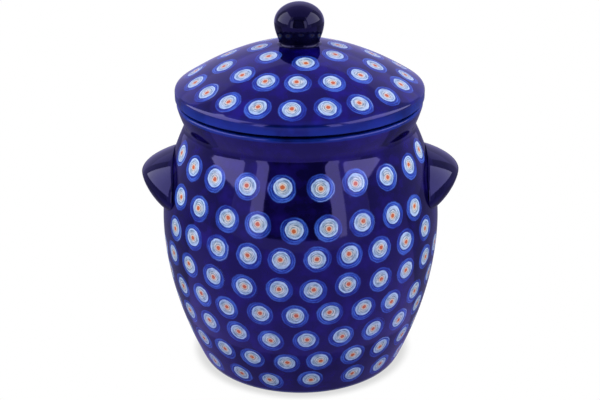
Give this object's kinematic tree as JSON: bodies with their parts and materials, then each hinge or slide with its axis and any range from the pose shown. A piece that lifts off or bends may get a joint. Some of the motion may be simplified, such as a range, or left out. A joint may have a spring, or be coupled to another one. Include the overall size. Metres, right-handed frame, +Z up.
{
  "type": "lidded jar",
  "caption": "Round-bellied glazed stoneware storage jar with a flared collar, solid lug handles and a domed lift-off lid with a ball knob.",
  "frame": {"origin": "centre of the foot ring on the surface that the jar stands on", "axes": "+Z up along the jar's turning axis, the two lug handles on the X axis, -Y towards the viewer of the picture"},
  "size_m": [0.209, 0.1834, 0.2426],
  "materials": {
    "body_glaze": "glossy cobalt blue glaze with stamped eye dots of pale blue and orange",
    "lug_glaze": "glossy dark cobalt glaze, plain",
    "lid_glaze": "glossy cobalt blue glaze with stamped eye dots and a plain royal blue band",
    "knob_glaze": "glossy dark cobalt glaze, plain"
  },
  "bodies": {
    "jar": {"jar_body": "body_glaze", "handle_left": "lug_glaze", "handle_right": "lug_glaze"},
    "lid": {"lid": "lid_glaze", "lid_knob": "knob_glaze"}
  },
  "joints": [
    {"name": "lid_lift", "type": "slide", "parent": "jar", "child": "lid", "axis": [0, 0, 1], "range_m": [0, 0.1]}
  ]
}
